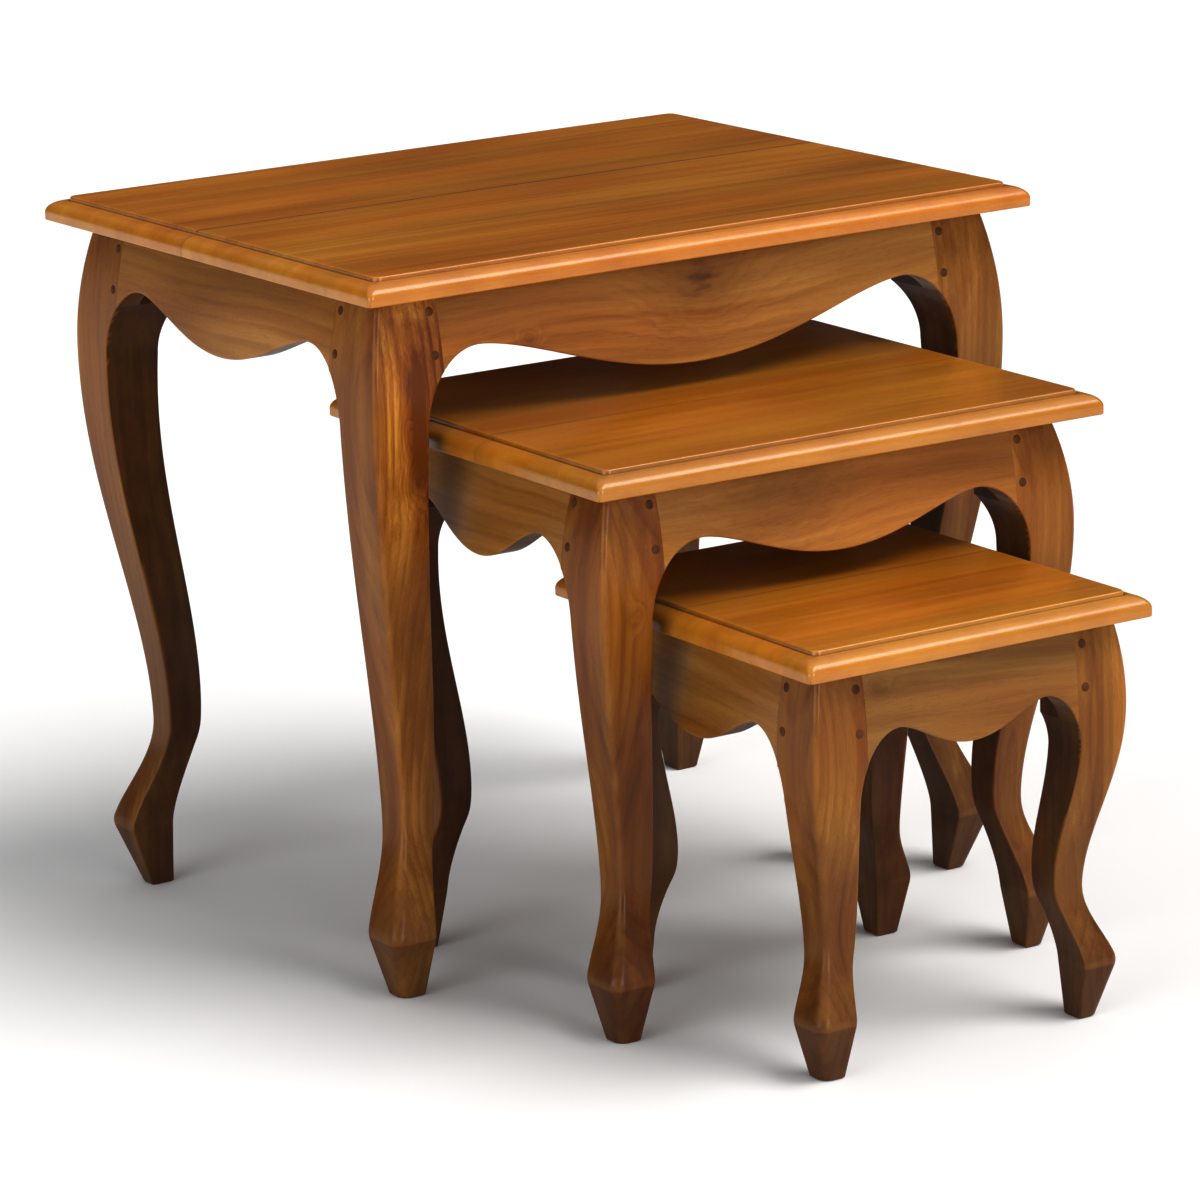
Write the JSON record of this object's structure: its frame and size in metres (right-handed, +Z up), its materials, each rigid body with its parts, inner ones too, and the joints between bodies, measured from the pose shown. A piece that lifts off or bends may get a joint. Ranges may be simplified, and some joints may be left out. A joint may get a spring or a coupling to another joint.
{
  "type": "nesting tables",
  "caption": "Set of nesting side tables with moulded tops, shaped aprons and cabriole legs; the smaller tables slide out from beneath the larger ones.",
  "frame": {"origin": "on the floor, below the middle of the three tables taken together as they stand at rest", "axes": "+X along the long side of the large table, to the right of someone facing its front; -Y is the front, the way the smaller tables slide out; +Z up"},
  "size_m": [0.598, 0.798, 0.5465],
  "materials": {
    "top_wood": "satin",
    "leg_wood": "satin",
    "apron_wood": "satin",
    "peg_wood": "satin"
  },
  "bodies": {
    "large_table": {"large_leg_front_left": "leg_wood", "large_leg_front_right": "leg_wood", "large_leg_rear_right": "leg_wood", "large_leg_rear_left": "leg_wood", "large_apron_front": "apron_wood", "large_front_peg_left_upper": "peg_wood", "large_front_peg_left_lower": "peg_wood", "large_front_peg_right_upper": "peg_wood", "large_front_peg_right_lower": "peg_wood", "large_apron_right": "apron_wood", "large_apron_rear": "apron_wood", "large_apron_left": "apron_wood", "large_left_peg_rear_upper": "peg_wood", "large_left_peg_rear_lower": "peg_wood", "large_left_peg_front_upper": "peg_wood", "large_left_peg_front_lower": "peg_wood", "large_top_front_board": "top_wood", "large_top_rear_board": "top_wood"},
    "mid_table": {"mid_leg_front_left": "leg_wood", "mid_leg_front_right": "leg_wood", "mid_leg_rear_right": "leg_wood", "mid_leg_rear_left": "leg_wood", "mid_apron_front": "apron_wood", "mid_front_peg_left_upper": "peg_wood", "mid_front_peg_left_lower": "peg_wood", "mid_front_peg_right_upper": "peg_wood", "mid_front_peg_right_lower": "peg_wood", "mid_apron_right": "apron_wood", "mid_apron_rear": "apron_wood", "mid_apron_left": "apron_wood", "mid_left_peg_rear_upper": "peg_wood", "mid_left_peg_rear_lower": "peg_wood", "mid_left_peg_front_upper": "peg_wood", "mid_left_peg_front_lower": "peg_wood", "mid_top_front_board": "top_wood", "mid_top_rear_board": "top_wood"},
    "small_table": {"small_leg_front_left": "leg_wood", "small_leg_front_right": "leg_wood", "small_leg_rear_right": "leg_wood", "small_leg_rear_left": "leg_wood", "small_apron_front": "apron_wood", "small_front_peg_left_upper": "peg_wood", "small_front_peg_left_lower": "peg_wood", "small_front_peg_right_upper": "peg_wood", "small_front_peg_right_lower": "peg_wood", "small_apron_right": "apron_wood", "small_apron_rear": "apron_wood", "small_apron_left": "apron_wood", "small_left_peg_rear_upper": "peg_wood", "small_left_peg_rear_lower": "peg_wood", "small_left_peg_front_upper": "peg_wood", "small_left_peg_front_lower": "peg_wood", "small_top_front_board": "top_wood", "small_top_rear_board": "top_wood"}
  },
  "joints": [
    {"name": "mid_table_slide", "type": "slide", "parent": "large_table", "child": "mid_table", "axis": [0, -1, 0], "range_m": [-0.2333, 0.2]},
    {"name": "small_table_slide", "type": "slide", "parent": "large_table", "child": "small_table", "axis": [0, -1, 0], "range_m": [-0.4018, 0.388]}
  ]
}
